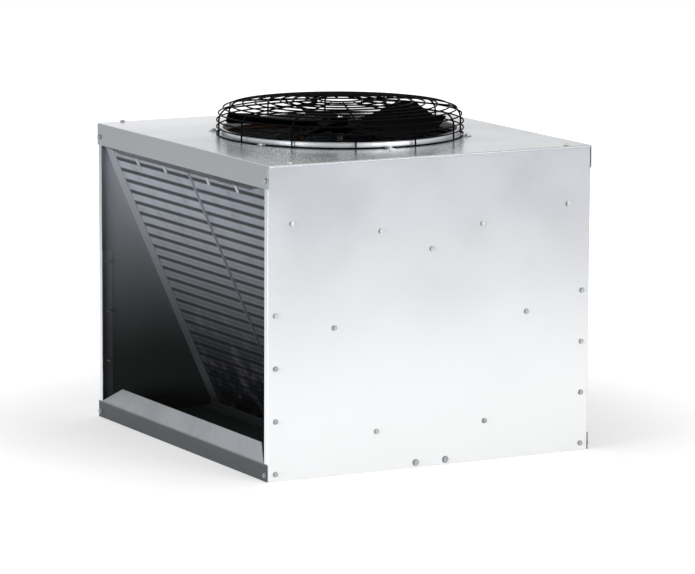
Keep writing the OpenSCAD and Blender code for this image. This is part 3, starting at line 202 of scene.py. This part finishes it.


# in these looks, the colours low down, towards the far side and on the inside faces are painted light and
# shade, not the metal's own colour
sheets = {
    "side_sheet": dict(
        colour=(0.47, 0.49, 0.52), shade=(0.42, 0.44, 0.47), tint=(0.47, 0.46, 0.52), tintAmount=0.5,
        patchScale=5.0, spangleScale=260.0, spangleAmount=0.12, roughness=0.44, metallic=0.3, bump=0.04,
        paintedLowShading=(0.95, 0.96, 0.97), lowBand=(0.0, 0.64),
        inside=(0.3565, 0.3767, 0.6), dusty=(0.42, 0.44, 0.47), deep=(0.012, 0.014, 0.014)),
    "top_sheet": dict(
        colour=(0.52, 0.54, 0.56), shade=(0.46, 0.48, 0.50), tint=(0.50, 0.51, 0.56), tintAmount=0.3,
        patchScale=6.0, spangleScale=240.0, spangleAmount=0.08, roughness=0.22, metallic=0.75, bump=0.01,
        paintedFarHighlight=(0.74, 0.75, 0.77), farBand=(0.0, 0.36),
        paintedLowShading=(0.25, 0.268, 0.28), lowBand=(0.6075, 0.6098)),
    "base_sheet": dict(
        colour=(0.32, 0.335, 0.35), shade=(0.265, 0.28, 0.295), tint=(0.32, 0.32, 0.35), tintAmount=0.3,
        patchScale=9.0, spangleScale=230.0, spangleAmount=0.15, roughness=0.44, metallic=0.6, bump=0.04,
        paintedLowShading=(0.068, 0.075, 0.080), lowBand=(0.030, 0.037),
        inside=(0.3335, 0.3775, 0.1), dusty=(0.06, 0.065, 0.065), deep=(0.012, 0.014, 0.014)),
    "inner_sheet": dict(
        colour=(0.50, 0.52, 0.54), shade=(0.42, 0.44, 0.46), tint=(0.48, 0.48, 0.54), tintAmount=0.3,
        patchScale=9.0, spangleScale=240.0, spangleAmount=0.15, roughness=0.42, metallic=0.5, bump=0.04,
        inside=(0.40, 0.40, 0.6), dusty=(0.46, 0.48, 0.52), deep=(0.05, 0.055, 0.06)),
    "orifice_sheet": dict(
        colour=(0.84, 0.86, 0.88), shade=(0.74, 0.76, 0.78), tint=(0.65, 0.66, 0.70), tintAmount=0.3,
        patchScale=9.0, spangleScale=240.0, spangleAmount=0.15, roughness=0.34, metallic=0.6, bump=0.03,
        inside=(0.40, 0.40, 0.6095), dusty=(0.012, 0.012, 0.013), deep=(0.008, 0.008, 0.008)),
    "box_sheet": dict(
        colour=(0.66, 0.68, 0.70), shade=(0.58, 0.60, 0.62), tint=(0.63, 0.63, 0.67), tintAmount=0.3,
        patchScale=11.0, spangleScale=240.0, spangleAmount=0.15, roughness=0.42, metallic=0.5, bump=0.04),
    "zinc_steel": dict(
        colour=(0.42, 0.43, 0.44), shade=(0.28, 0.29, 0.30), tint=(0.42, 0.42, 0.38), tintAmount=0.4,
        patchScale=60.0, spangleScale=900.0, spangleAmount=0.2, roughness=0.36, metallic=0.7, bump=0.05),
    "bright_steel": dict(
        colour=(0.62, 0.63, 0.65), shade=(0.50, 0.51, 0.53), tint=(0.58, 0.56, 0.52), tintAmount=0.3,
        patchScale=40.0, spangleScale=900.0, spangleAmount=0.15, roughness=0.26, metallic=1.0, bump=0.03),
    "copper": dict(
        colour=(0.46, 0.23, 0.14), shade=(0.30, 0.15, 0.10), tint=(0.24, 0.16, 0.13), tintAmount=0.6,
        patchScale=30.0, spangleScale=700.0, spangleAmount=0.15, roughness=0.38, metallic=0.8, bump=0.04),
    "fitting_brass": dict(
        colour=(0.70, 0.54, 0.26), shade=(0.56, 0.42, 0.20), tint=(0.48, 0.38, 0.22), tintAmount=0.4,
        patchScale=50.0, spangleScale=900.0, spangleAmount=0.1, roughness=0.3, metallic=1.0, bump=0.03),
}
paints = {
    "motor_paint": dict(
        colour=(0.004, 0.004, 0.005), shade=(0.008, 0.008, 0.009), scale=18.0, roughness=0.55,
        metallic=0.0, gloss=0.1, bump=0.12),
    "fan_paint": dict(
        colour=(0.0008, 0.0009, 0.001), shade=(0.0016, 0.0018, 0.002), scale=14.0, roughness=0.8,
        metallic=0.0, gloss=0.01, bump=0.08),
    "guard_coating": dict(
        colour=(0.0015, 0.0015, 0.002), shade=(0.003, 0.003, 0.004), scale=40.0, roughness=0.45,
        metallic=0.0, gloss=0.02, bump=0.05),
    "lead_rubber": dict(
        colour=(0.02, 0.02, 0.02), shade=(0.04, 0.04, 0.04), scale=80.0, roughness=0.6,
        metallic=0.0, gloss=0.5, bump=0.2),
    "terminal_plastic": dict(
        colour=(0.03, 0.03, 0.03), shade=(0.05, 0.05, 0.05), scale=60.0, roughness=0.5,
        metallic=0.0, gloss=0.5, bump=0.1),
    "core_steel": dict(
        colour=(0.22, 0.21, 0.20), shade=(0.14, 0.13, 0.12), scale=50.0, roughness=0.45,
        metallic=0.8, gloss=0.5, bump=0.3),
}

# one coil's fins: run and rise give its slope, columns are the places across a fin where its mesh bends
fins = dict(pitch=0.0025, ripple=0.0016, tubePitch=0.0254, tubes=24, stepsPerTube=6,
            columns=(0.0, 0.004, 0.033, 0.062, 0.066), footOffset=0.101, footHeight=0.012,
            run=0.248, rise=0.558, span=0.3365, support=-0.007, supportRoom=0.0018)
# high and low are painted light up and down the coil, and the row colour is painted shade between the tube
# rows; the dust is the fins' own
finFinish = dict(high=(0.86, 0.90, 0.95), low=(0.025, 0.028, 0.03), lightBand=(0.06, 0.50),
                 dust=(0.50, 0.50, 0.56), dustNoise=(22.0, 4.0, 0.6), dustAndShadeBand=(0.45, 0.75), dustAmount=0.35,
                 rowShade=(0.008, 0.009, 0.01), rowShadeAmount=0.8, rowBand=(-0.85, 0.0),
                 metallic=0.25, roughness=0.42, fineNoise=(500.0, 2.0, 0.5), fineRough=0.15,
                 bump=0.05, depth=0.0003)


# thin aluminium fins: painted light, bright towards the header and dark low down, and painted shade in bands
# between the rows of tubes
def finAluminium(look, coil):
    f = Finish("fin_aluminium")
    tilt = math.atan2(coil["run"], coil["rise"])
    dust = f.noise(*look["dustNoise"]).above(*look["dustAndShadeBand"])
    x, height = f.axis("X"), f.axis("Z")
    up, outward = height - coil["footHeight"], x.maths("ABSOLUTE", x) - coil["footOffset"]
    upSlope = up * math.cos(tilt) + outward * math.sin(tilt)
    row = x.maths("SINE", upSlope * (2 * math.pi / coil["tubePitch"])).above(*look["rowBand"])
    # painted light: the fins lighter up towards the header, dark low down
    colour = f.mixed(height.above(*look["lightBand"]), look["low"], look["high"])
    colour = f.mixed(dust * look["dustAmount"], colour, look["dust"])
    # painted shade in bands between the rows of tubes
    colour = f.mixed(row, f.mixed(look["rowShadeAmount"], colour, look["rowShade"]), colour)
    fine = f.noise(*look["fineNoise"])
    return f.surface(Base_Color=colour, Metallic=look["metallic"],
                     Roughness=look["roughness"] + fine.centred() * look["fineRough"],
                     Normal=f.bump(fine, look["bump"], look["depth"]))


finishes = {name: galvanised(name, look, metalGrain) for name, look in sheets.items()}
finishes.update({name: painted(name, look, paintGrain) for name, look in paints.items()})
finishes["fin_aluminium"] = finAluminium(finFinish, fins)
for part in frame["record"]["subparts"]:
    piece = nodes[part["node"]]
    piece.data.materials.clear()
    piece.data.materials.append(finishes[part["material_slot"]])
print("finishes: %d" % len(finishes))


def placed(name, data):
    made = bpy.data.objects.new(name, data)
    bpy.context.scene.collection.objects.link(made)
    return made


def smoothPiece(name, points, faces, finish):
    mesh = bpy.data.meshes.new(name)
    mesh.from_pydata(points, [], faces)
    mesh.polygons.foreach_set("use_smooth", [True] * len(mesh.polygons))
    mesh.materials.append(finishes[finish])
    return placed(name, mesh)


# hundreds of thin rippled fins stand for the fewer plain ones of the CAD
def finPack(side, look):
    tilt = math.atan2(look["run"], look["rise"])
    alongX, alongZ = math.sin(tilt), math.cos(tilt)
    steps = look["tubes"] * look["stepsPerTube"]
    across = len(look["columns"])
    count = int(look["span"] / look["pitch"])
    places = [i * look["pitch"] for i in range(-count, count + 1)]
    places = [y for y in places if abs(y - look["support"]) > look["supportRoom"]]
    points, faces = [], []
    for y in places:
        base = len(points)
        for k in range(steps + 1):
            w = k * look["tubePitch"] / look["stepsPerTube"]  # distance up the slope
            wave = look["ripple"] * math.cos(2 * math.pi * k / look["stepsPerTube"])
            for u in look["columns"]:
                x = -look["footOffset"] + u * alongZ - w * alongX
                z = look["footHeight"] + u * alongX + w * alongZ
                points.append((x if side < 0 else -x, y + wave, z))
        for k in range(steps):
            for c in range(across - 1):
                a = base + k * across + c
                faces.append((a, a + 1, a + 1 + across, a + across))
    name = "fine_fins_left" if side < 0 else "fine_fins_right"
    piece = smoothPiece(name, points, faces, "fin_aluminium")
    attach(piece, "cabinet")
    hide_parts("left_fins" if side < 0 else "right_fins")
    print("%s: %d plates" % (name, len(places)))


finPack(-1, fins)
finPack(1, fins)

# the guard's coated ring wires, on the same profile as the CAD rings; wire is a wire's radius
guard = dict(wire=0.0016, footRadius=0.2472, foot=0.6113, side=0.0267, sideRings=2,
             shoulderCentre=0.2172, shoulderZ=0.638, shoulder=0.030, shoulderRings=3,
             domeAngle=6.5, topPitch=0.025, topRings=7, around=180, across=8)


def ringPlaces(look):  # radius and height of each ring, up the side, over the shoulder and in over the dome
    step = look["side"] / look["sideRings"]
    places = [(look["footRadius"], look["foot"] + i * step) for i in range(look["sideRings"] + 1)]
    dome = math.radians(look["domeAngle"])
    sweep = math.radians(90 - look["domeAngle"])
    for i in range(1, look["shoulderRings"] + 1):
        turn = i * sweep / look["shoulderRings"]
        places.append((look["shoulderCentre"] + look["shoulder"] * math.cos(turn),
                       look["shoulderZ"] + look["shoulder"] * math.sin(turn)))
    start, top = places[-1]
    domeRadius = start / math.sin(dome)
    domeZ = top - domeRadius * math.cos(dome)
    for i in range(1, look["topRings"] + 1):
        r = start - i * look["topPitch"]
        places.append((r, domeZ + math.sqrt(domeRadius ** 2 - r ** 2)))
    return places


def guardWires(look):
    points, faces = [], []
    around, across = look["around"], look["across"]
    places = ringPlaces(look)
    for radius, height in places:
        base = len(points)
        for i in range(around):
            turn = 2 * math.pi * i / around
            for k in range(across):
                bend = 2 * math.pi * k / across
                r, z = radius + look["wire"] * math.cos(bend), height + look["wire"] * math.sin(bend)
                points.append((r * math.cos(turn), r * math.sin(turn), z))
        for i in range(around):
            here, there = base + i * across, base + (i + 1) % around * across
            for k in range(across):
                after = (k + 1) % across
                faces.append((here + k, there + k, there + after, here + after))
    piece = smoothPiece("guard_wires", points, faces, "guard_coating")
    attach(piece, "cabinet")
    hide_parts("guard_rings")
    print("guard_wires: %d rings" % len(places))


guardWires(guard)

# the camera, solved from the six cabinet corners in the photograph, in degrees, metres and its pixels
shot = dict(azimuth=-28.3204, elevation=9.1603, roll=0.2302, distance=8.6987, aim=(0.0, 0.0, 0.305),
            photoWidth=695, focalPixels=4313.8, shiftPixels=(8.0932, -3.4412), sensor=36, clip=(0.1, 100.0))


def placeCamera(look):
    a, e = math.radians(look["azimuth"]), math.radians(look["elevation"])
    back = Vector((math.sin(a) * math.cos(e), -math.cos(a) * math.cos(e), math.sin(e)))
    data = bpy.data.cameras.new("camera")
    data.sensor_width = look["sensor"]
    data.lens = look["focalPixels"] / look["photoWidth"] * look["sensor"]
    data.shift_x, data.shift_y = (shift / look["photoWidth"] for shift in look["shiftPixels"])
    data.clip_start, data.clip_end = look["clip"]
    camera = placed("camera", data)
    turn = (-back).to_track_quat("-Z", "Y").to_matrix().to_4x4()
    camera.matrix_world = (Matrix.Translation(Vector(look["aim"]) + back * look["distance"])
                           @ turn @ Matrix.Rotation(math.radians(look["roll"]), 4, "Z"))
    bpy.context.scene.camera = camera


placeCamera(shot)

# pale floor and white surroundings: both look white, but throw little light back on the cabinet
studio = dict(floorSize=14.0, floorDrop=0.0005, floorColour=0.80, floorCloud=0.985, floorRough=0.9,
              cloudNoise=(1.5, 2.0, 0.5), glowNear=0.42, glowFar=1.0, glowBand=(0.55, 1.5),
              bounce=0.10, bounceCloud=0.98, world=0.30, backdrop=1.0)


def floorMaterial(look):
    f = Finish("studio_floor")

    def greys(factor, first, second):
        return f.mixed(factor, (first,) * 3, (second,) * 3)
    cloud = f.noise(*look["cloudNoise"])
    away = f.node("ShaderNodeVectorMath", {"operation": "LENGTH"}, {0: f.place}, "Value")
    white = f.node("ShaderNodeBsdfPrincipled", None, {
        "Base Color": greys(cloud, look["floorColour"], look["floorColour"] * look["floorCloud"]),
        "Roughness": look["floorRough"], "Specular IOR Level": 0.0, "Emission Strength": 1.0,
        "Emission Color": greys(away.above(*look["glowBand"]), look["glowNear"], look["glowFar"])})
    dim = f.node("ShaderNodeBsdfDiffuse", None, {
        "Color": greys(cloud, look["bounce"], look["bounce"] * look["bounceCloud"])})
    return f.finished(f.node("ShaderNodeMixShader", None, {0: f.seenPlainly(), 1: dim, 2: white}))


def buildStudio(look):
    half = look["floorSize"] / 2
    corners = [(-half, -half, 0), (half, -half, 0), (half, half, 0), (-half, half, 0)]
    mesh = bpy.data.meshes.new("studio_floor")
    mesh.from_pydata(corners, [], [(0, 1, 2, 3)])
    mesh.materials.append(floorMaterial(look))
    floor = placed("studio_floor", mesh)
    floor.location.z = -look["floorDrop"]
    world = bpy.data.worlds.new("studio")
    bpy.context.scene.world = world
    w = Graph(world)
    lit, seen = (w.node("ShaderNodeBackground", None, {"Color": (1.0,) * 4, "Strength": strength})
                 for strength in (look["world"], look["backdrop"]))
    mix = w.node("ShaderNodeMixShader", None, {0: w.seenPlainly(), 1: lit, 2: seen})
    w.node("ShaderNodeOutputWorld", None, {0: mix})


lamps = {
    "key_lamp": dict(place=(1.3, -3.7, 1.2), aim=(0.1, -0.3, 0.3), size=(2.4, 2.0), power=66.0,
                     colour=(1.0, 0.995, 0.98)),
    "top_lamp": dict(place=(0.0, 0.3, 3.4), aim=(0.0, 0.0, 0.6), size=(2.6, 2.6), power=30.0,
                     colour=(1.0, 1.0, 1.0)),
    "side_lamp": dict(place=(-2.6, -0.9, 0.35), aim=(-0.25, 0.0, 0.42), size=(1.4, 0.6), power=46.0,
                      colour=(0.97, 0.98, 1.0)),
}


def lamp(name, look):
    data = bpy.data.lights.new(name, "AREA")
    data.shape = "RECTANGLE"
    data.size, data.size_y = look["size"]
    data.energy, data.color = look["power"], look["colour"]
    light = placed(name, data)
    light.location = look["place"]
    towards = Vector(look["aim"]) - Vector(look["place"])
    light.rotation_euler = towards.to_track_quat("-Z", "Y").to_euler()


buildStudio(studio)
for name, look in lamps.items():
    lamp(name, look)
print("studio and camera placed")

bpy.context.scene.view_settings.view_transform = "Standard"
